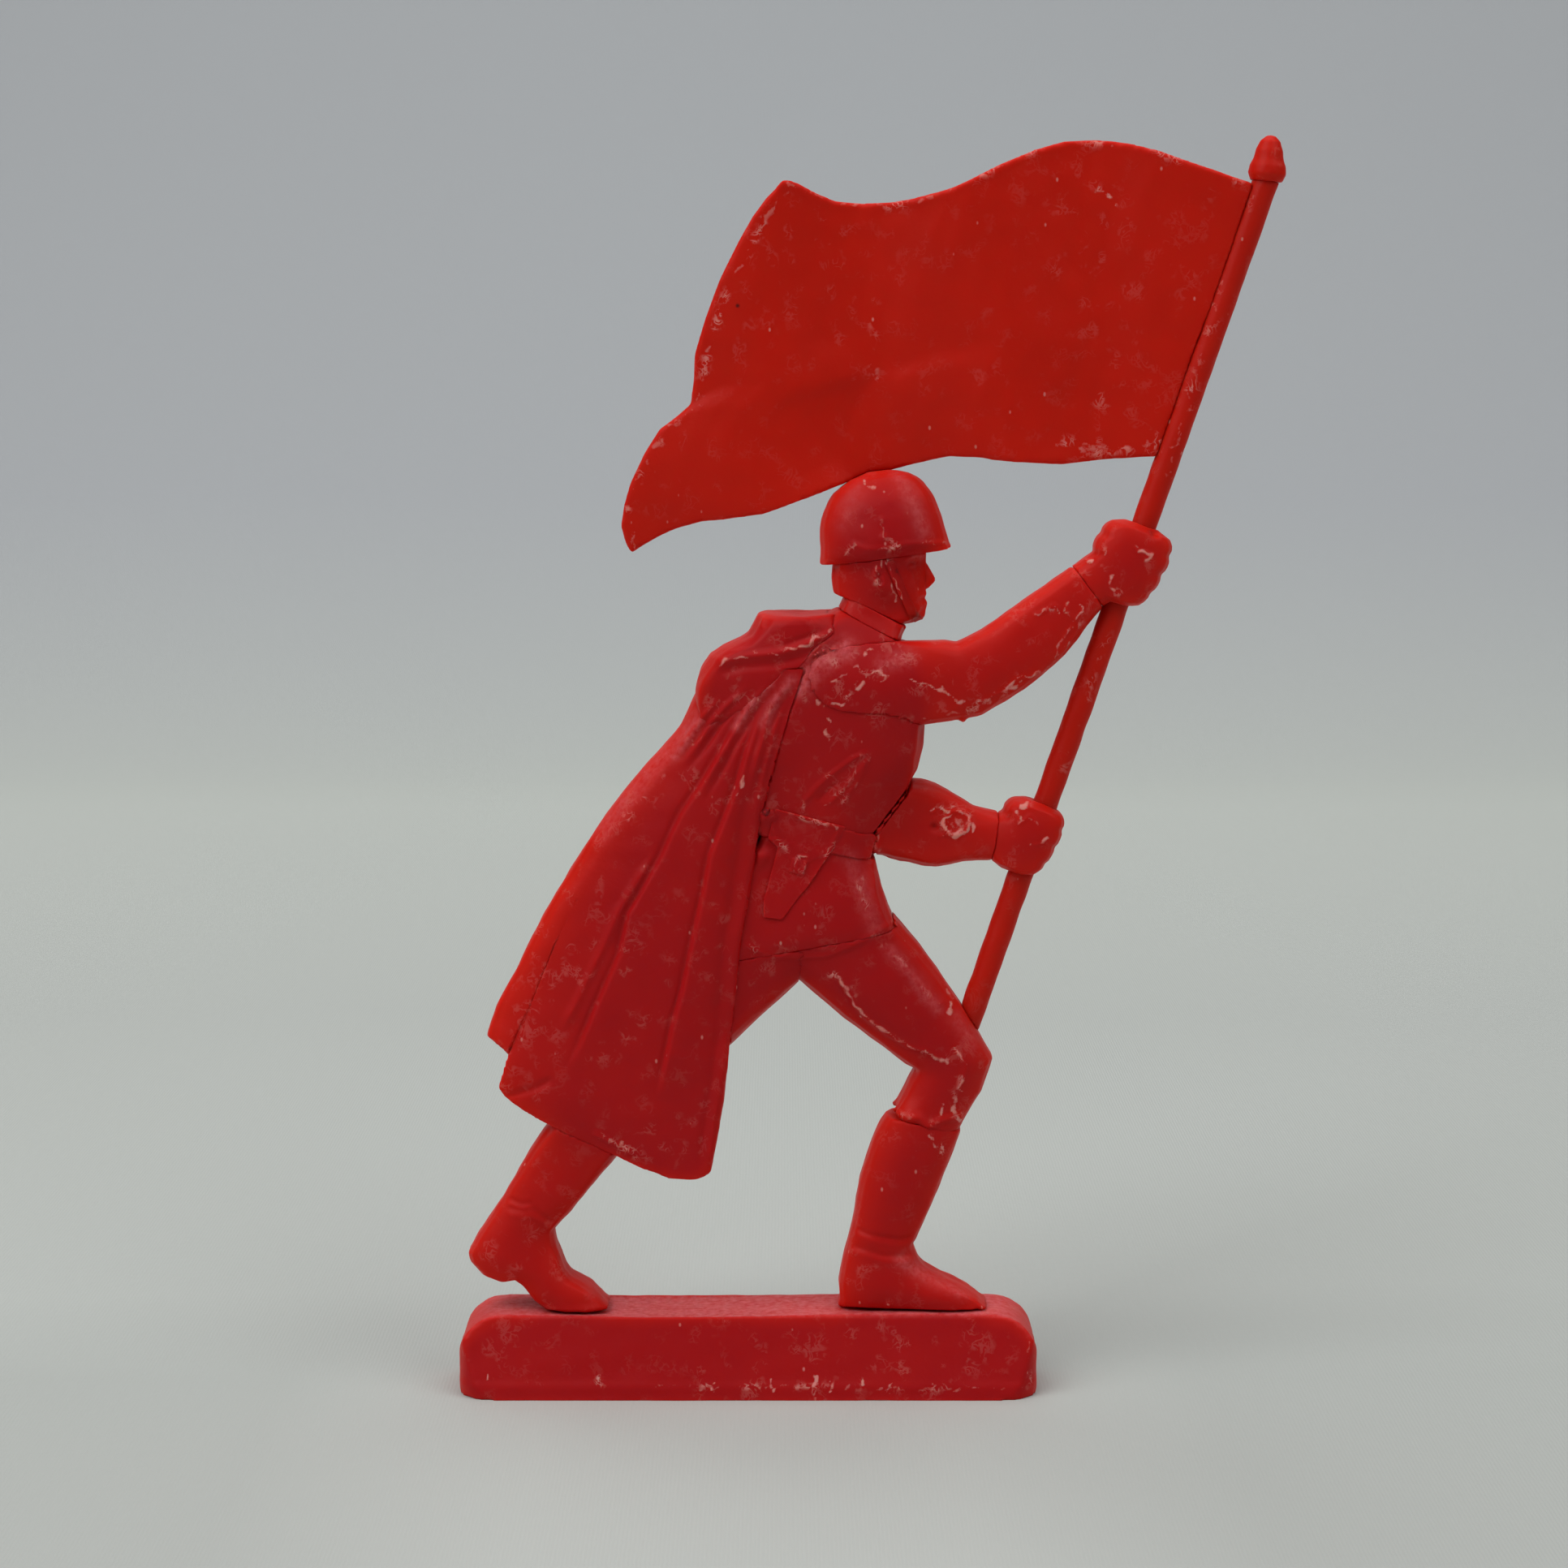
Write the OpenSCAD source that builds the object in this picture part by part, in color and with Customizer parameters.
// Toy soldier with a flag and a rain cape, a semi-flat plastic moulding on a slab base.
// The soldier faces +X, the right side of the figure is -Y, and z = 0 is the underside of the base.
// Limb lines lie in the X-Z plane. A lean is the angle in degrees from upright towards +X.

/* [Base] */
// Length of the base
base_length = 34.5; // [30:0.2:40]
// Depth of the base at its foot
base_depth = 8; // [7:0.1:12]
// Depth of the flat top of the base
base_top_depth = 5; // [4.6:0.1:6.5]
// Height of the base
base_height = 4.8; // [3:0.1:7]
// Radius of the upper corners, seen from the side
base_top_round = 2.6; // [1:0.1:3]
// Radius of the four upright corners, seen from above
base_end_round = 2.2; // [0.5:0.1:2.4]

/* [Front leg] */
// Place of the front ankle along the base
front_ankle_x = 8; // [5:0.1:10]
// Height of the front ankle above the base
front_ankle_height = 3.9; // [3:0.1:5]
// Length of the front shin from ankle to knee
shin_length = 11.7; // [10:0.1:14]
// Forward lean of the front shin
shin_lean = 21.5; // [10:0.5:30]
// Length of the front thigh from knee to hip
thigh_length = 12.4; // [11:0.1:14]
// Backward lean of the front thigh
thigh_lean = 43; // [35:0.5:50]
// Thickness of the thigh, seen from the side
thigh_width = 6; // [5:0.1:7]
// Depth of the thigh across the figure
thigh_depth = 5.8; // [5:0.1:7]

/* [Rear leg] */
// Distance of the rear ankle behind the middle of the base
rear_ankle_distance = 13.9; // [11:0.1:15]
// Height of the rear ankle above the base
rear_ankle_height = 4.7; // [4:0.1:6]
// Place of the rear knee on the line from ankle to hip
rear_knee_share = 0.5; // [0.4:0.01:0.6]
// Distance of the rear knee in front of that line
rear_knee_bend = 0; // [0:0.1:2]

/* [Boots] */
// Length of a boot from heel to toe
foot_length = 8.7; // [7:0.1:10]
// Width of a boot across the sole
foot_width = 4.7; // [3.5:0.1:5]
// Length of the boot shaft above the ankle
shaft_length = 7.9; // [6:0.1:9]
// Thickness of the boot at the ankle, seen from the side
ankle_width = 3.9; // [3:0.1:5]

/* [Tunic and belt] */
// Height of the belt above the hip
pelvis_rise = 4.3; // [3.5:0.1:6]
// Forward lean of the waist and chest
torso_lean = 14.5; // [5:0.5:20]
// Length of the tunic from belt to neck
torso_length = 11.6; // [10:0.1:13]
// Thickness of the chest, seen from the side
chest_width = 9.4; // [8:0.1:11]
// Depth of the chest across the figure
chest_depth = 7.2; // [6:0.1:8]
// Thickness of the waist, seen from the side
waist_width = 6.5; // [5.5:0.1:8]
// Depth of the waist across the figure
waist_depth = 5.8; // [5:0.1:7]
// Height of the belt
belt_height = 1.4; // [0.8:0.1:2]
// Thickness of the belt where it stands out from the tunic
belt_thickness = 0.2; // [0.1:0.05:0.4]
// Length of the tunic skirt below the belt
skirt_length = 6; // [5:0.1:7.5]
// Height of the stand collar of the tunic
stand_collar_height = 0.9; // [0.5:0.1:1.5]

/* [Holster] */
// Length of the holster from flap to tip
holster_length = 6.3; // [5:0.1:8]
// Width of the holster flap
holster_width = 4.2; // [3.5:0.1:5]
// Thickness of the holster where it stands out from the hip
holster_thickness = 0.5; // [0.3:0.05:0.8]
// Thickness of the flap over the holster
flap_thickness = 0.2; // [0.1:0.05:0.3]
// Outward tilt of the holster along the flare of the skirt
holster_tilt = 5; // [3:0.5:7]

/* [Head and helmet] */
// Height from the collar to the helmet rim
head_height = 4.1; // [3.5:0.1:5]
// Forward lean of the neck
head_lean = 14; // [5:0.5:20]
// Length of the head from the back to the brow
head_length = 5.9; // [5:0.1:6.5]
// Width of the head across the figure
head_width = 4.6; // [4:0.1:5.2]
// Length of the helmet
helmet_length = 7.7; // [7:0.1:9]
// Width of the helmet across the figure
helmet_width = 6.2; // [5.6:0.1:7.5]
// Height of the helmet above its rim
helmet_height = 5; // [4:0.1:6]
// Backward tilt of the helmet
helmet_tilt = 7.5; // [0:0.5:12]
// Width of the chin strap
strap_width = 0.55; // [0.4:0.05:0.8]
// Thickness of the chin strap
strap_thickness = 0.26; // [0.2:0.02:0.4]

/* [Arms and hands] */
// Thickness of a sleeve at the elbow
sleeve_width = 4.8; // [4:0.1:6]
// Depth of a sleeve across the figure
sleeve_depth = 3.8; // [3:0.1:5]
// Thickness of a wrist
wrist_width = 3.2; // [2.6:0.1:4]
// Length of the right fist along the staff
right_fist_length = 4.8; // [4:0.1:6]
// Width of the right fist from palm to knuckles
right_fist_width = 4.5; // [3.5:0.1:5]
// Length of the left fist along the staff
left_fist_length = 4.4; // [4:0.1:6]
// Width of the left fist from palm to knuckles
left_fist_width = 3.9; // [3.5:0.1:5]
// Depth of a fist across the figure
fist_depth = 4.2; // [3.5:0.1:5]
// Place of the right fist on the staff
right_grip_share = 0.552; // [0.5:0.002:0.6]
// Place of the left fist on the staff
left_grip_share = 0.226; // [0.18:0.002:0.28]

/* [Flag staff] */
// Length of the staff from knee to finial
staff_length = 52.7; // [48:0.1:58]
// Forward lean of the staff
staff_lean = 18.9; // [14:0.1:22]
// Diameter of the staff
staff_diameter = 1.5; // [1.2:0.05:2.2]
// Length of the finial
finial_length = 2.5; // [2:0.1:4]
// Diameter of the finial
finial_diameter = 2.2; // [2:0.1:3]
// Forward lean of the finial
finial_lean = 5; // [0:0.5:20]

/* [Flag] */
// Length of the flag from the staff to its far tip
flag_length = 36.5; // [32:0.5:42]
// Height that the flag spans below its top corner
flag_drop = 21.4; // [18:0.2:24]
// Thickness of the flag
flag_thickness = 0.95; // [0.6:0.05:1.4]
// Depth of the waves in the flag
flag_wave = 0.55; // [0:0.05:1]

/* [Cape] */
// Length of the cape from shoulder to hem
cape_length = 30; // [27:0.2:33]
// How far the cape blows out behind
cape_spread = 18.3; // [16:0.2:22]
// Depth of the cape across the back
cape_depth = 7.8; // [7:0.1:9]
// Thickness of the cape at its trailing edge
cape_edge = 1.5; // [1:0.1:2.5]
// Depth of the pleats
pleat_depth = 0.4; // [0.2:0.05:0.8]
// Number of pleats from the back edge to the front edge
pleats = 4; // [3:1:7]

/* [Hidden] */
$fn = 48;

// Sides of a cross-section, rings between two rows of a table, and how round each cross-section is:
// 1 is an ellipse, less is squarer
ring_sides = 16;
helmet_sides = 24;
row_steps = 2;
body_round = 0.55;
limb_round = 0.75;
foot_round = 0.7;
head_round = 0.9;
body_red = [0.66, 0.08, 0.09];
thin_red = [0.82, 0.13, 0.06];

// Unit vector of a lean, and the vector square to it on the front side
function up(lean) = [sin(lean), cos(lean)];
function ahead(lean) = [cos(lean), -sin(lean)];
// A point of a leaning frame: ahead of its origin and up from it
function at(origin, lean, forward, rise) = origin + forward * ahead(lean) + rise * up(lean);
function mix(a, b, t) = a + (b - a) * t;
function ease(t) = let (s = min(max(t, 0), 1)) s * s * (3 - 2 * s);

// One smooth curve through the rows of a table, with steps parts between two rows
function between(a, b, c, d, t) =
    b + t / 2 * (c - a + t * (2 * a - 5 * b + 4 * c - d + t * (3 * (b - c) + d - a)));
function smooth(table, steps) =
    let (last = len(table) - 1)
    [for (i = [0:last - 1]) for (k = [0:steps - 1])
        between(table[max(i - 1, 0)], table[i], table[i + 1], table[min(i + 2, last)], k / steps),
     table[last]];

// A cross-section square to a limb: half widths to the front and back, reach to the near and far side
function ring(centre, lean, front, back, near, far, round, sides = ring_sides) =
    [for (i = [0:sides - 1])
        let (t = 360 * (i + 0.5) / sides, c = cos(t), s = sin(t),
             across = sign(c) * pow(abs(c), round) * (c > 0 ? front : back),
             depth = (far - near + sign(s) * pow(abs(s), round) * (far + near)) / 2,
             p = centre + across * ahead(lean))
        [p.x, depth, p.y]];
// A cross-section between two points of the side view
function ring_across(back, front, near, far, round, grow = 0) =
    let (span = front - back, half = norm(span) / 2 + grow)
    ring((back + front) / 2, -atan2(span.y, span.x), half, half, near + grow, far + grow, round);

// Points of a line with one bend, from 0 at its start through 1 at the bend to 2 at its end, and its lean
function bent(a, b, c, t) = t < 1 ? mix(a, b, t) : mix(b, c, t - 1);
function lean_of(v) = atan2(v.x, v.y);
bend_start_share = 0.75;
bend_span_share = 0.5;
function bent_lean(a, b, c, t) =
    mix(lean_of(b - a), lean_of(c - b), ease((t - bend_start_share) / bend_span_share));
// Rings of a limb: each row holds its station, then shares of the width ahead and behind,
// and of the depth near and far
function limb(a, b, c, width, depth, shares) =
    [for (r = smooth(shares, row_steps))
        ring(bent(a, b, c, r[0]), bent_lean(a, b, c, r[0]),
            width * r[1], width * r[2], depth * r[3], depth * r[4], limb_round)];

function middle(points) = [for (k = [0:2]) [for (p = points) p[k]] * [for (p = points) 1 / len(points)]];
// A closed skin over a row of rings
module loft(rings) {
    n = len(rings[0]);
    m = len(rings);
    points = [for (r = rings) each r, middle(rings[0]), middle(rings[m - 1])];
    polyhedron(points, [
        for (j = [0:m - 2]) for (i = [0:n - 1])
            let (a = j * n + i, b = j * n + (i + 1) % n) each [[a, b + n, b], [a, a + n, b + n]],
        for (i = [0:n - 1]) [i, (i + 1) % n, m * n],
        for (i = [0:n - 1]) [m * n + 1, (m - 1) * n + (i + 1) % n, (m - 1) * n + i]]);
}

// A sheet from a grid of side-view points and one of half depths, the same on both sides,
// shifted across the figure by sway
module sheet(grid, half, sway) {
    m = len(grid);
    n = len(grid[0]);
    points = [for (s = [-1, 1]) for (j = [0:m - 1]) for (i = [0:n - 1])
        [grid[j][i].x, sway[j][i] + s * half[j][i], grid[j][i].y]];
    o = m * n;
    polyhedron(points, [
        for (j = [0:m - 2]) for (i = [0:n - 2])
            let (a = j * n + i, b = a + 1, c = b + n, d = a + n)
            each [[a, b, c], [a, c, d], [o + a, o + c, o + b], [o + a, o + d, o + c]],
        for (i = [0:n - 2]) each let (a = i, b = i + 1) [[a, o + a, o + b], [a, o + b, b]],
        for (i = [0:n - 2]) each let (a = (m - 1) * n + i, b = a + 1) [[a, o + b, o + a], [a, b, o + b]],
        for (j = [0:m - 2]) each let (a = j * n, b = a + n) [[a, o + b, o + a], [a, b, o + b]],
        for (j = [0:m - 2]) each let (a = j * n + n - 1, b = a + n) [[a, o + a, o + b], [a, o + b, b]]]);
}
// A grid that blends four edge curves: bottom and top hold one point a column, left and right one a row
function patch(bottom, top, left, right, across, rise) =
    [for (j = [0:len(rise) - 1]) [for (i = [0:len(across) - 1])
        let (u = across[i], v = rise[j])
        mix(bottom[i], top[i], v) + mix(left[j], right[j], u)
        - mix(mix(bottom[0], bottom[len(across) - 1], u), mix(top[0], top[len(across) - 1], u), v)]];

// The skeleton, in the side view; a pair of shares is forward and up, of the piece's width and length
neck_back_shares = [-0.217, 1.067];
neck_front_shares = [0.209, 0.987];
shoulder_shares = [-0.1, 0.72];
cape_top_shares = [-0.358, 0.69];
staff_foot_shares = [0.345, 0.09];
function on_torso(shares) = at(waist, torso_lean, chest_width * shares[0], torso_length * shares[1]);
front_ankle = [front_ankle_x, base_height + front_ankle_height];
knee = front_ankle + shin_length * up(shin_lean);
front_boot_top = front_ankle + shaft_length * up(shin_lean);
hip = knee + thigh_length * up(-thigh_lean);
rear_ankle = [-rear_ankle_distance, base_height + rear_ankle_height];
rear_lean = lean_of(hip - rear_ankle);
rear_knee = mix(rear_ankle, hip, rear_knee_share) + rear_knee_bend * ahead(rear_lean);
rear_boot_top = rear_ankle + shaft_length * up(lean_of(rear_knee - rear_ankle));
belt_foot = hip + [0, pelvis_rise];
waist = belt_foot + belt_height * up(torso_lean);
neck_back = on_torso(neck_back_shares);
neck_front = on_torso(neck_front_shares);
neck_lean = lean_of(neck_front - neck_back) - 90;
neck = (neck_back + neck_front) / 2;
rim_centre = neck + head_height * up(head_lean);
crown = rim_centre + helmet_height * up(-helmet_tilt);
shoulder = on_torso(shoulder_shares);
staff_foot = at(knee, -thigh_lean, staff_foot_shares[0] * thigh_width, staff_foot_shares[1] * thigh_length);
staff_top = staff_foot + staff_length * up(staff_lean);
right_grip = mix(staff_foot, staff_top, right_grip_share);
left_grip = mix(staff_foot, staff_top, left_grip_share);
// How far a cut runs past what it cuts
overrun_share = 0.1;
overrun = overrun_share * base_height;

// Base: a slab with a drafted front and back, rounded top corners and rounded ends
module rounded(length, width, round) {
    union() {
        square([length - 2 * round, width], center = true);
        square([length, width - 2 * round], center = true);
        for (s = [-1, 1]) for (d = [-1, 1])
            translate([s * (length / 2 - round), d * (width / 2 - round)]) circle(round);
    }
}
module base() {
    foot_edge = base_depth / 2;
    top_edge = base_top_depth / 2;
    color(body_red) intersection() {
        rotate([90, 0, 0]) translate([0, 0, -foot_edge])
            linear_extrude(base_depth) rounded(base_length, 2 * base_height, base_top_round);
        linear_extrude(base_height) rounded(base_length, base_depth, base_end_round);
        rotate([90, 0, 90]) translate([0, 0, -base_length / 2]) linear_extrude(base_length)
            polygon([[-foot_edge, 0], [foot_edge, 0], [top_edge, base_height], [-top_edge, base_height]]);
    }
}

// Boots: rows of the foot hold the instep point, the sole point and the half width, from toe to ankle
front_foot_shares = [
    [0.70, -0.96, 0.68, -1.0, 0.30], [0.665, -0.84, 0.60, -1.0, 0.40],
    [0.60, -0.73, 0.46, -1.0, 0.47], [0.52, -0.63, 0.30, -1.0, 0.50],
    [0.43, -0.53, 0.10, -1.0, 0.48], [0.36, -0.44, -0.10, -1.0, 0.46],
    [0.30, -0.36, -0.285, -1.0, 0.46], [0.26, -0.26, -0.30, -0.62, 0.44],
    [0.235, -0.12, -0.27, -0.25, 0.42], [0.215, 0.0, -0.235, 0.04, 0.40]];
rear_foot_shares = [
    [0.62, -0.97, 0.55, -1.04, 0.30], [0.59, -0.87, 0.45, -1.04, 0.40],
    [0.53, -0.755, 0.33, -1.04, 0.46], [0.455, -0.66, 0.21, -1.01, 0.48],
    [0.38, -0.585, 0.115, -0.89, 0.47], [0.34, -0.49, 0.035, -0.70, 0.45],
    [0.32, -0.40, -0.035, -0.62, 0.45], [0.305, -0.32, -0.115, -0.66, 0.45],
    [0.287, -0.235, -0.23, -0.585, 0.45], [0.276, -0.15, -0.32, -0.40, 0.44],
    [0.27, -0.065, -0.335, -0.29, 0.43], [0.264, 0.02, -0.265, -0.06, 0.41]];
// Rows of the shaft hold its station, then shares of the ankle width ahead and behind,
// and of the sole width near and far
front_shaft_shares = [
    [0.12, 0.47, 0.56, 0.42, 0.42], [0.4, 0.49, 0.69, 0.47, 0.47],
    [0.75, 0.49, 0.73, 0.50, 0.50], [1, 0.48, 0.69, 0.50, 0.50]];
rear_shaft_shares = [
    [0.12, 0.42, 0.50, 0.42, 0.42], [0.4, 0.42, 0.63, 0.45, 0.45],
    [0.7, 0.38, 0.75, 0.44, 0.44], [1, 0.37, 0.77, 0.40, 0.40]];
function foot(ankle, height, shares) =
    [for (r = smooth(shares, 1))
        let (sole = ankle + [foot_length * r[2], height * r[3]],
             instep = ankle + [foot_length * r[0], height * r[1]],
             half = foot_width * r[4])
        ring_across(sole, instep, half, half, foot_round)];
function shaft(ankle, boot_top, shares) = limb(ankle, boot_top, boot_top, ankle_width, foot_width, shares);
module front_boot_form() {
    loft(concat(foot(front_ankle, front_ankle_height, front_foot_shares),
        shaft(front_ankle, front_boot_top, front_shaft_shares)));
}
module rear_boot_form() {
    loft(concat(foot(rear_ankle, rear_ankle_height, rear_foot_shares),
        shaft(rear_ankle, rear_boot_top, rear_shaft_shares)));
}
// Everything below the top of the base, which trims what stands on it
module ground() {
    translate([-base_length, -base_depth, -overrun])
        cube([2 * base_length, 2 * base_depth, base_height + overrun]);
}
module front_boot() {
    color(body_red) difference() {
        front_boot_form();
        ground();
    }
}
module rear_boot() {
    color(body_red) difference() {
        rear_boot_form();
        ground();
    }
}

// Trouser legs, from the boot top over the knee to the hip
front_leg_shares = [
    [0, 0.28, 0.38, 0.38, 0.38], [0.5, 0.32, 0.37, 0.40, 0.40], [1, 0.39, 0.34, 0.42, 0.42],
    [1.25, 0.48, 0.38, 0.45, 0.45], [1.55, 0.565, 0.49, 0.50, 0.50],
    [2, 0.60, 0.59, 0.52, 0.52]];
rear_leg_shares = [
    [0, 0.23, 0.42, 0.31, 0.31], [0.5, 0.26, 0.45, 0.34, 0.34], [1, 0.27, 0.48, 0.38, 0.38],
    [1.5, 0.32, 0.50, 0.46, 0.46], [2, 0.41, 0.52, 0.52, 0.52]];
module front_leg_form() {
    loft(limb(front_boot_top, knee, hip, thigh_width, thigh_depth, front_leg_shares));
}
module rear_leg_form() {
    loft(limb(rear_boot_top, rear_knee, hip, thigh_width, thigh_depth, rear_leg_shares));
}
module front_leg() {
    color(body_red) difference() {
        front_leg_form();
        tunic_skirt_form();
    }
}
module rear_leg() {
    color(body_red) difference() {
        rear_leg_form();
        tunic_skirt_form();
        front_leg_form();
    }
}

// Tunic: rows hold the back and front points, as shares of width and length, and the half depth
neck_depth_share = 0.27;
skirt_shares = [
    [-0.47, -1.30, 0.93, -0.60, 0.60], [-0.50, -1.10, 0.87, -0.50, 0.60],
    [-0.50, -0.70, 0.73, -0.28, 0.57], [-0.48, 0, 0.59, 0, 0.5]];
chest_shares = [
    [-0.345, 0, 0.345, 0, 0.42], [-0.44, 0.20, 0.43, 0.16, 0.45],
    [-0.51, 0.42, 0.52, 0.38, 0.49], [-0.50, 0.66, 0.49, 0.62, 0.5],
    [-0.42, 0.86, 0.36, 0.82, 0.46], [-0.31, 1.0, 0.25, 0.94, 0.36],
    concat(neck_back_shares, neck_front_shares, neck_depth_share)];
module tunic_skirt_form() {
    loft([for (r = smooth(skirt_shares, row_steps))
        let (back = at(belt_foot, torso_lean, waist_width * r[0], skirt_length * r[1]),
             front = at(belt_foot, torso_lean, waist_width * r[2], skirt_length * r[3]),
             half = waist_depth * r[4])
        ring_across(back, front, half, half, body_round)]);
}
module tunic_form() {
    loft([for (r = smooth(chest_shares, row_steps))
        let (half = chest_depth * r[4])
        ring_across(on_torso([r[0], r[1]]), on_torso([r[2], r[3]]), half, half, body_round)]);
}
module tunic_skirt() {
    color(body_red) tunic_skirt_form();
}
module tunic() {
    color(body_red) tunic_form();
}
module belt_form() {
    half = waist_width / 2 + belt_thickness;
    deep = waist_depth / 2 + belt_thickness;
    loft([for (p = [belt_foot, waist]) ring(p, torso_lean, half, half, deep, deep, body_round)]);
}
module belt() {
    color(body_red) belt_form();
}
collar_lift = stand_collar_height * up(neck_lean);
module stand_collar_form() {
    half = neck_depth_share * chest_depth;
    loft([for (t = [0, 1])
        ring_across(neck_back + t * collar_lift, neck_front + t * collar_lift, half, half, limb_round)]);
}
module stand_collar() {
    color(body_red) stand_collar_form();
}

// The whole trunk as one cutter: its parts reach into each other, so that no film stays at their seams
module trunk_form() {
    belt_form();
    for (t = [0, 1]) {
        translate([0, 0, -t * overrun]) tunic_form();
        translate([0, 0, t * overrun]) tunic_skirt_form();
    }
}

// Holster on the near hip: outlines as shares of its width and length, from the middle of its top edge
flap_shares = [[-0.5, 0], [0.5, 0], [0.47, -0.21], [0.04, -0.46], [-0.06, -0.46], [-0.5, -0.27]];
pouch_shares = [
    [-0.33, -0.2], [0.42, -0.2], [0.2, -0.62], [-0.03, -0.98], [-0.28, -1], [-0.34, -0.85]];
stud_shares = [[-0.1, -0.54], [0.1, -0.54], [0.1, -0.4], [-0.1, -0.4]];
flap_place_shares = [-0.09, -0.05];
holster_root_share = 0.35;
module holster_plate(shares, rise) {
    root = holster_root_share * waist_depth;
    top = waist_depth / 2 + belt_thickness + holster_thickness + rise;
    translate([0, 0, root]) linear_extrude(top - root)
        polygon([for (s = shares) [s.x * holster_width, s.y * holster_length]]);
}
module holster_form() {
    place = at(waist, torso_lean, flap_place_shares[0] * waist_width, flap_place_shares[1] * belt_height);
    translate([place.x, 0, place.y]) rotate([0, torso_lean, 0]) rotate([90 - holster_tilt, 0, 0]) {
        holster_plate(pouch_shares, 0);
        holster_plate(flap_shares, flap_thickness);
        holster_plate(stud_shares, 2 * flap_thickness);
    }
}
module holster() {
    color(body_red) difference() {
        holster_form();
        trunk_form();
    }
}

// Head: rows hold the back and front points of a section below the helmet rim and its half width, as shares
head_shares = [
    [-0.57, -0.42, 0.19, -1.0, 0.40], [-0.575, -0.34, 0.29, -0.95, 0.43],
    [-0.575, -0.26, 0.345, -0.82, 0.45], [-0.57, -0.18, 0.35, -0.62, 0.47],
    [-0.56, -0.12, 0.355, -0.42, 0.485], [-0.55, -0.05, 0.39, -0.20, 0.49],
    [-0.54, 0, 0.41, 0, 0.48]];
neck_inset_share = 0.06;
neck_width_share = 0.36;
nose_shares = [[0.36, -0.17, 0.03], [0.415, -0.42, 0.042], [0.355, -0.47, 0.05]];
ear_shares = [[-0.1, -0.16], [-0.08, -0.42]];
ear_radius_share = 0.085;
ear_side_share = 0.47;
function on_head(u, w) = at(rim_centre, -helmet_tilt, head_length * u, head_height * w);
// With grow, the form is that much larger all round, down to the chin
module head_form(grow = 0) {
    inset = neck_inset_share * (neck_front - neck_back);
    neck_half = neck_width_share * head_width;
    neck_ring = [neck_back + collar_lift + inset, neck_front + collar_lift - inset];
    loft(concat(
        [ring_across(neck_ring[0], neck_ring[1], neck_half, neck_half, head_round)],
        [for (r = head_shares)
            let (back = on_head(r[0], r[1]) + grow * r[3] * up(-helmet_tilt),
                 front = on_head(r[2], r[3]) + grow * r[3] * up(-helmet_tilt),
                 half = head_width * r[4])
            ring_across(back, front, half, half, head_round, grow)]));
}
module head() {
    color(body_red) union() {
        head_form();
        hull() for (r = nose_shares) {
            p = on_head(r[0], r[1]);
            translate([p.x, 0, p.y]) sphere(head_length * r[2], $fn = ring_sides);
        }
        for (s = [-1, 1]) hull() for (r = ear_shares) {
            p = on_head(r[0], r[1]);
            translate([p.x, s * ear_side_share * head_width, p.y])
                sphere(head_length * ear_radius_share, $fn = ring_sides);
        }
    }
}
// Chin strap: a band from the rim in front of the ear down under the chin
strap_shares = [[-0.02, 0.1], [0.20, -0.8]];
strap_reach_share = 1.5;
module chin_strap() {
    from = on_head(strap_shares[0].x, strap_shares[0].y);
    to = on_head(strap_shares[1].x, strap_shares[1].y);
    reach = head_height * strap_reach_share;
    color(body_red) difference() {
        intersection() {
            head_form(strap_thickness);
            translate([from.x, 0, from.y]) rotate([0, lean_of(to - from), 0])
                translate([-strap_width / 2, -head_width, 0]) cube([strap_width, 2 * head_width, reach]);
        }
        // The head reaches up into the helmet here, so that no film stays under the rim
        for (t = [0, 1]) translate([0, 0, t * overrun]) head_form();
    }
}

// Helmet: rows hold the rise, then shares of the length ahead and behind, and of the width
helmet_shares = [
    [0, 0.51, 0.51, 0.5], [0.06, 0.495, 0.505, 0.5], [0.2, 0.48, 0.49, 0.49],
    [0.42, 0.455, 0.475, 0.46], [0.62, 0.42, 0.425, 0.41], [0.80, 0.36, 0.34, 0.33],
    [0.93, 0.26, 0.20, 0.22], [1, 0.1, 0.06, 0.08]];
module helmet_form() {
    loft([for (r = smooth(helmet_shares, row_steps))
        let (half = helmet_width * r[3])
        ring(rim_centre + helmet_height * r[0] * up(-helmet_tilt), -helmet_tilt,
            helmet_length * r[1], helmet_length * r[2], half, half, head_round, helmet_sides)]);
}
module helmet() {
    color(body_red) helmet_form();
}

// Sleeves: a row holds its station from shoulder over elbow to cuff, widths below and above,
// and depths near and far
right_arm_lean = 60;
left_arm_lean = 90;
right_wrist_share = 0.6;
left_wrist_share = 0.46;
right_palm_share = 0.047;
left_palm_share = 0.13;
right_fist = right_grip - right_palm_share * right_fist_width * ahead(staff_lean);
left_fist = left_grip - left_palm_share * left_fist_width * ahead(staff_lean);
right_cuff = right_fist - right_wrist_share * right_fist_width * up(right_arm_lean);
left_cuff = left_fist - left_wrist_share * left_fist_width * up(left_arm_lean);
elbow_shares = [0.46, 0.51, 0.285, 0.21];
right_elbow = mix(shoulder, right_cuff, elbow_shares[0])
    + elbow_shares[1] * sleeve_width * ahead(lean_of(right_cuff - shoulder));
left_elbow = [mix(shoulder.x, left_cuff.x, elbow_shares[2]), left_cuff.y + elbow_shares[3] * sleeve_width];
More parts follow.
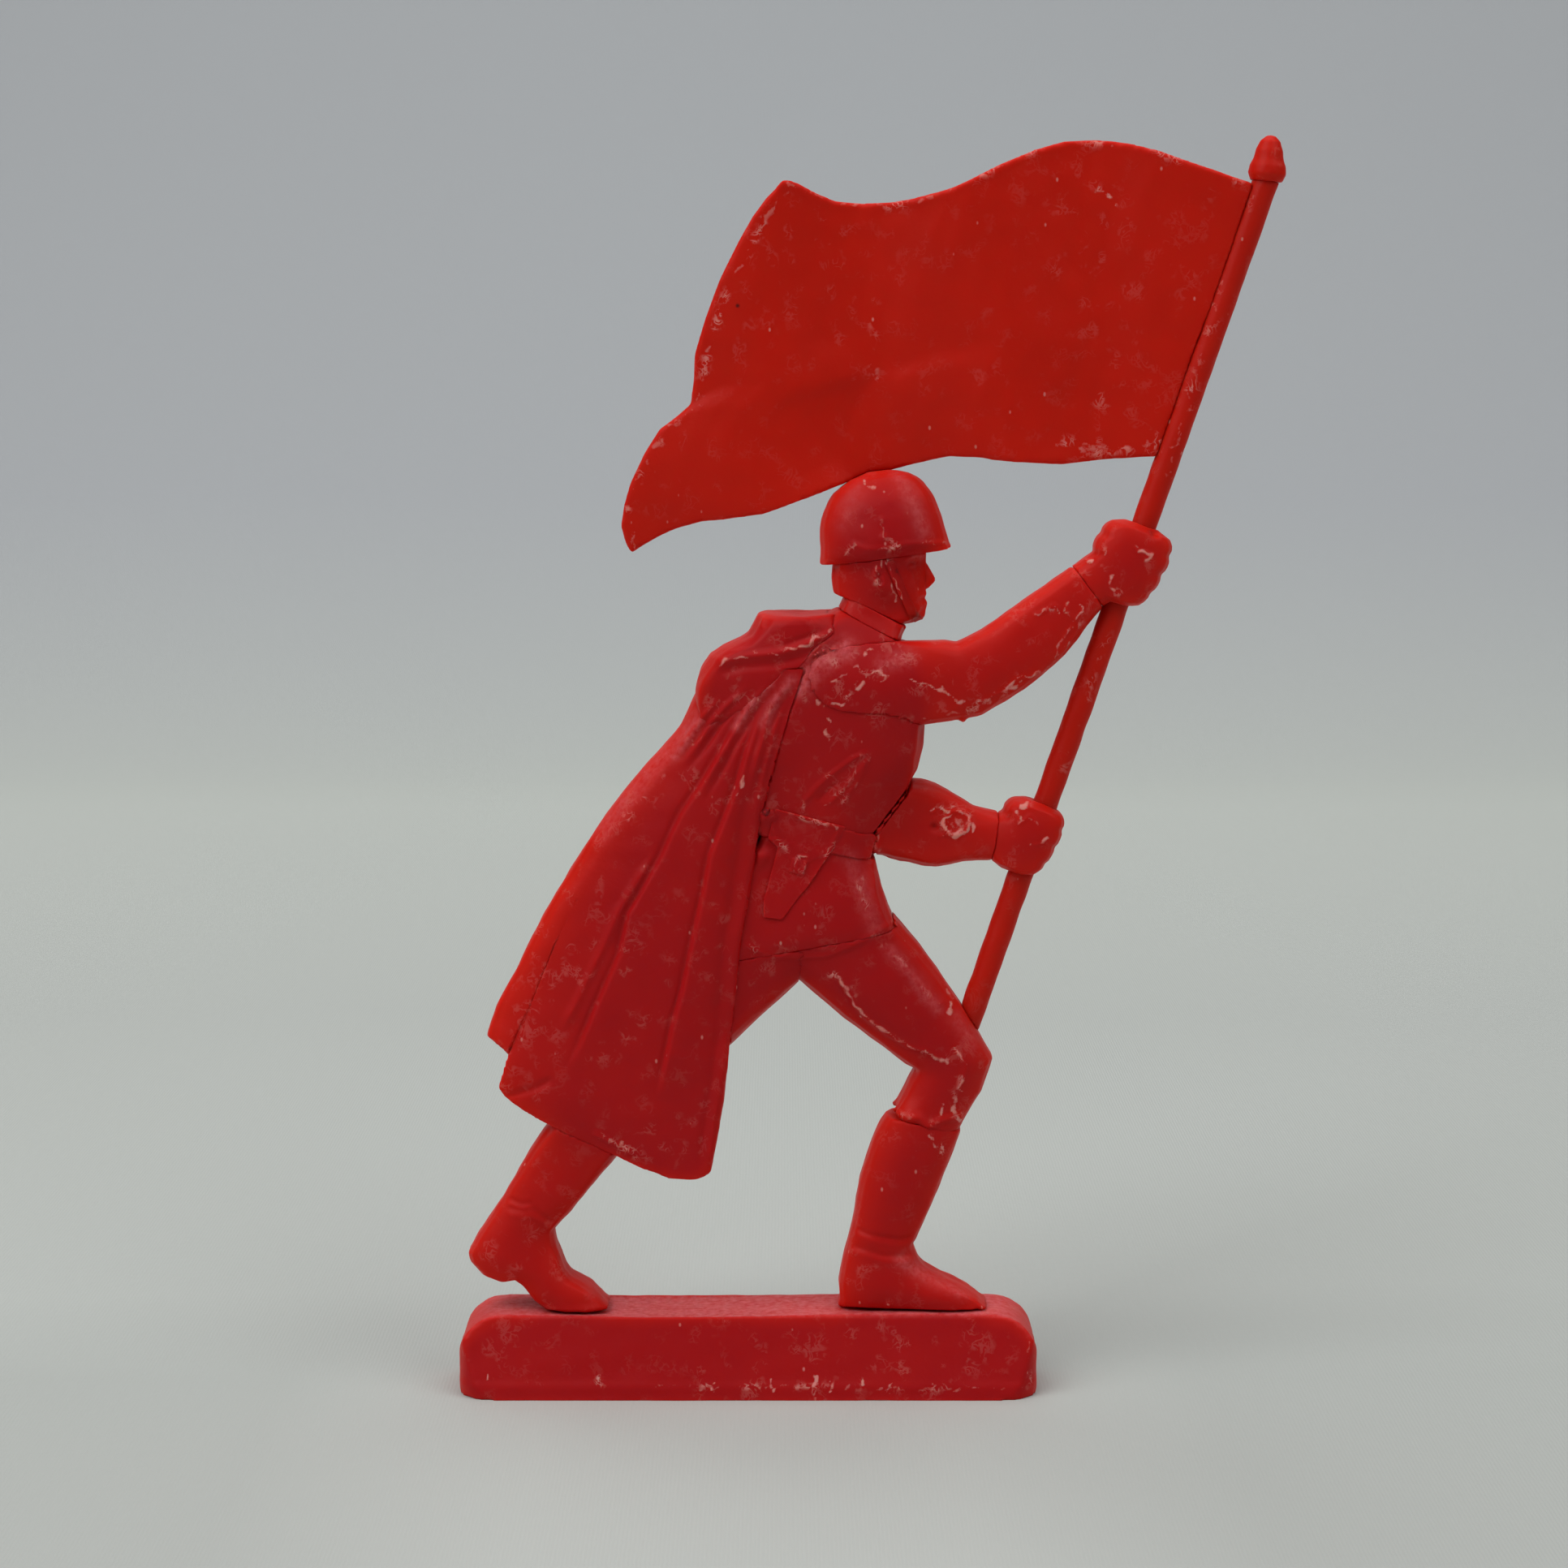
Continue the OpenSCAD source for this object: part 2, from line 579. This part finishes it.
right_sleeve_shares = [
    [-0.3, 0.25, 0.25, 0.75, 0.1], [-0.24, 0.42, 0.42, 0.90, 0.1], [-0.1, 0.5, 0.5, 1.0, 0.1],
    [0.25, 0.55, 0.49, 1.04, 0], [0.65, 0.56, 0.47, 1.0, 0], [1, 0.50, 0.45, 0.84, 0.14],
    [1.25, 0.54, 0.365, 0.74, 0.22], [1.6, 0.51, 0.34, 0.62, 0.32], [1.85, 0.38, 0.32, 0.52, 0.38],
    [2, 0.32, 0.31, 0.46, 0.38]];
left_sleeve_shares = [
    [-0.2, 0.3, 0.3, 0.1, 0.85], [0, 0.45, 0.45, 0.1, 1.05], [0.5, 0.42, 0.44, 0, 1.08],
    [1, 0.50, 0.50, 0.1, 1.0], [1.3, 0.51, 0.54, 0.22, 0.8], [1.53, 0.51, 0.47, 0.3, 0.65],
    [1.76, 0.37, 0.335, 0.36, 0.52], [2, 0.30, 0.30, 0.4, 0.46]];
module right_sleeve_form() {
    loft(limb(shoulder, right_elbow, right_cuff, sleeve_width, sleeve_depth, right_sleeve_shares));
}
module left_sleeve_form() {
    loft(limb(shoulder, left_elbow, left_cuff, sleeve_width, sleeve_depth, left_sleeve_shares));
}
module right_sleeve() {
    color(body_red) difference() {
        right_sleeve_form();
        tunic_form();
        stand_collar_form();
    }
}
module left_sleeve() {
    color(body_red) difference() {
        left_sleeve_form();
        trunk_form();
    }
}

// Fists round the staff: four finger rolls, one above the other, and a wrist that comes out of the cuff
fingers = 4;
finger_relief_share = 0.06;
fist_end_share = 0.45;
fist_round = 2.8;
// The knuckles stand out more at the top of the fist than at its bottom
knuckle_slant_share = 0.16;
roll_round = 0.6;
wrist_shares = [[0, 0.46], [0.5, 0.5], [0.9, 0.5]];
module fist(centre, cuff, cuff_lean, length, width) {
    steps = 4 * fingers;
    loft([for (k = [0:steps])
        let (t = k / steps,
             roll = 1 - finger_relief_share * (1 - pow(abs(sin(180 * fingers * t)), roll_round)),
             cap = fist_end_share + (1 - fist_end_share) * sqrt(1 - pow(abs(2 * t - 1), fist_round)),
             half = width / 2 * cap * roll,
             knuckles = half * (1 + knuckle_slant_share * (2 * t - 1)),
             deep = fist_depth / 2 * cap * roll)
        ring(centre + length * (t - 1 / 2) * up(staff_lean), staff_lean,
            knuckles, half, deep, deep, limb_round)]);
    loft([for (r = wrist_shares)
        let (half = wrist_width * r[1])
        ring(mix(cuff, centre, r[0]), cuff_lean, half, half, half, half, limb_round)]);
}
module hand(centre, cuff, elbow, length, width) {
    cuff_lean = lean_of(cuff - elbow);
    color(body_red) difference() {
        fist(centre, cuff, cuff_lean, length, width);
        staff_form();
        // Everything behind the end of the sleeve
        translate([cuff.x, 0, cuff.y]) rotate([0, cuff_lean, 0])
            translate([-length, -length, -2 * length]) cube(2 * length);
    }
}
module right_hand() {
    hand(right_fist, right_cuff, right_elbow, right_fist_length, right_fist_width);
}
module left_hand() {
    hand(left_fist, left_cuff, left_elbow, left_fist_length, left_fist_width);
}

// Staff and finial
module staff_form() {
    translate([staff_foot.x, 0, staff_foot.y]) rotate([0, staff_lean, 0])
        cylinder(h = staff_length, d = staff_diameter);
}
module flag_staff() {
    color(thin_red) difference() {
        staff_form();
        front_leg_form();
    }
}
finial_shares = [
    [0, -0.06], [0.42, -0.06], [0.5, 0.12], [0.47, 0.3], [0.40, 0.45], [0.36, 0.66],
    [0.26, 0.87], [0.12, 0.98], [0, 1]];
module finial() {
    color(thin_red) difference() {
        translate([staff_top.x, 0, staff_top.y]) rotate([0, finial_lean, 0])
            rotate_extrude()
            polygon([for (s = finial_shares) [s.x * finial_diameter, s.y * finial_length]]);
        staff_form();
    }
}

// Flag: columns hold the share across, then the top edge and the bottom edge;
// rows hold the rise and the free edge
flag_edge_shares = [
    [0, -0.017, -0.016, -0.154, -0.747], [0.12, -0.13, 0.048, -0.24, -0.755],
    [0.24, -0.22, 0.094, -0.32, -0.769], [0.36, -0.32, 0.10, -0.41, -0.761],
    [0.48, -0.42, 0.04, -0.50, -0.748], [0.58, -0.50, -0.026, -0.576, -0.775],
    [0.70, -0.595, -0.064, -0.686, -0.831], [0.82, -0.686, -0.06, -0.80, -0.905],
    [0.92, -0.745, -0.012, -0.90, -0.926], [0.97, -0.768, -0.005, -0.965, -0.965],
    [1, -0.779, -0.027, -1.012, -1.013]];
flag_fly_shares = [
    [0, -1.012, -1.013], [0.1, -1.028, -0.94], [0.2, -1.012, -0.82], [0.3, -0.965, -0.675],
    [0.36, -0.915, -0.607], [0.5, -0.908, -0.47], [0.7, -0.868, -0.27], [0.88, -0.815, -0.10],
    [1, -0.779, -0.027]];
crown_column = 5;
crown_dip_share = 0.04;
flag_waves = 2.2;
flag_calm_share = 0.33;
flag_slant_share = 0.2;
function flag_point(x, z) = staff_top + [flag_length * x, flag_drop * z];
module flag_form() {
    // The lower edge rests on the crown of the helmet at one of its points
    rest = crown - crown_dip_share * [0, helmet_height];
    edge = [for (k = [0:len(flag_edge_shares) - 1])
        let (r = flag_edge_shares[k])
        [flag_point(r[1], r[2]), k == crown_column ? rest : flag_point(r[3], r[4])]];
    across = [for (r = smooth(flag_edge_shares, row_steps)) r[0]];
    top = smooth([for (r = edge) r[0]], row_steps);
    bottom = smooth([for (r = edge) r[1]], row_steps);
    rows = smooth(flag_fly_shares, row_steps);
    grid = patch(bottom, top, [for (r = rows) mix(bottom[0], top[0], r[0])],
        [for (r = rows) flag_point(r[1], r[2])], across, [for (r = rows) r[0]]);
    half = [for (r = rows) [for (u = across) flag_thickness / 2]];
    sway = [for (r = rows) [for (u = across)
        flag_wave * ease(u / flag_calm_share) * sin(360 * flag_waves * (u - flag_slant_share * r[0]))]];
    sheet(grid, half, sway);
}
module flag() {
    color(thin_red) difference() {
        flag_form();
        staff_form();
        helmet_form();
    }
}

// Cape: rows hold the drop, the front edge and the back edge;
// columns hold the share across and the hem, back to front
cape_side_shares = [
    [0, 0.02, 0.02, -0.30, 0.01], [0.12, -0.05, -0.11, -0.374, -0.10],
    [0.25, -0.105, -0.23, -0.50, -0.187], [0.38, -0.143, -0.35, -0.62, -0.28],
    [0.52, -0.178, -0.477, -0.73, -0.383], [0.66, -0.205, -0.60, -0.83, -0.485],
    [0.82, -0.225, -0.77, -0.915, -0.59], [0.92, -0.25, -0.885, -0.978, -0.66],
    [1, -0.28, -0.978, -1.01, -0.72]];
cape_hem_shares = [
    [0, -1.01, -0.72], [0.06, -0.925, -0.763], [0.13, -0.968, -0.815], [0.22, -0.885, -0.862],
    [0.32, -0.79, -0.893], [0.5, -0.65, -0.93], [0.65, -0.53, -0.963], [0.8, -0.42, -0.988],
    [0.92, -0.325, -0.99], [1, -0.28, -0.978]];
cape_top = on_torso(cape_top_shares);
function cape_point(x, z) = cape_top + [cape_spread * x, cape_length * z];
hem_thinning_share = 0.2;
cape_round = 0.6;
pleat_round = 0.7;
pleat_start_share = 0.3;
pleat_middle_share = 0.5;
module cape_form() {
    rows = smooth(cape_side_shares, row_steps);
    columns = smooth(cape_hem_shares, row_steps + 1);
    first = cape_side_shares[0];
    top_front = cape_point(first[1], first[2]);
    top_back = cape_point(first[3], first[4]);
    grid = patch(
        [for (c = columns) mix(top_back, top_front, c[0])], [for (c = columns) cape_point(c[1], c[2])],
        [for (r = rows) cape_point(r[3], r[4])], [for (r = rows) cape_point(r[1], r[2])],
        [for (c = columns) c[0]], [for (r = rows) r[0]]);
    half = [for (r = rows) [for (c = columns)
        let (full = cape_depth * (1 - hem_thinning_share * r[0]),
             pleat = pleat_depth * mix(pleat_start_share, 1, r[0]),
             wave = pow(abs(sin(180 * pleats * c[0])), pleat_round) - pleat_middle_share)
        mix(cape_edge, full, pow(sin(90 * c[0]), cape_round)) / 2 + pleat * wave]];
    sheet(grid, half, [for (r = rows) [for (c = columns) 0]]);
}
module cape() {
    color(body_red) difference() {
        cape_form();
        trunk_form();
        rear_leg_form();
        rear_boot_form();
        right_sleeve_form();
        left_sleeve_form();
        cape_collar_form();
        holster_form();
    }
}

// Bunched collar of the cape: a fan of folds round the neck;
// rows hold the front point, the back point and the half depth
cape_collar_shares = [
    [-0.45, 0.50, -0.88, 0.30, 0.34], [-0.38, 0.63, -0.905, 0.43, 0.46],
    [-0.30, 0.746, -0.914, 0.53, 0.50],
    [-0.226, 0.85, -0.91, 0.675, 0.51], [-0.177, 0.90, -0.80, 0.77, 0.46],
    [-0.149, 0.945, -0.725, 0.83, 0.47], [-0.139, 0.98, -0.70, 0.915, 0.42],
    [-0.165, 1.02, -0.665, 0.95, 0.36], [-0.21, 1.05, -0.45, 0.98, 0.30]];
module cape_collar_form() {
    loft([for (r = smooth(cape_collar_shares, row_steps))
        let (half = cape_depth * r[4])
        ring_across(on_torso([r[2], r[3]]), on_torso([r[0], r[1]]), half, half, limb_round)]);
}
module cape_collar() {
    color(body_red) difference() {
        cape_collar_form();
        tunic_form();
        head_form();
        right_sleeve_form();
        left_sleeve_form();
    }
}

base();
front_boot();
rear_boot();
front_leg();
rear_leg();
tunic_skirt();
belt();
tunic();
stand_collar();
holster();
head();
chin_strap();
helmet();
right_sleeve();
left_sleeve();
right_hand();
left_hand();
flag_staff();
finial();
flag();
cape();
cape_collar();
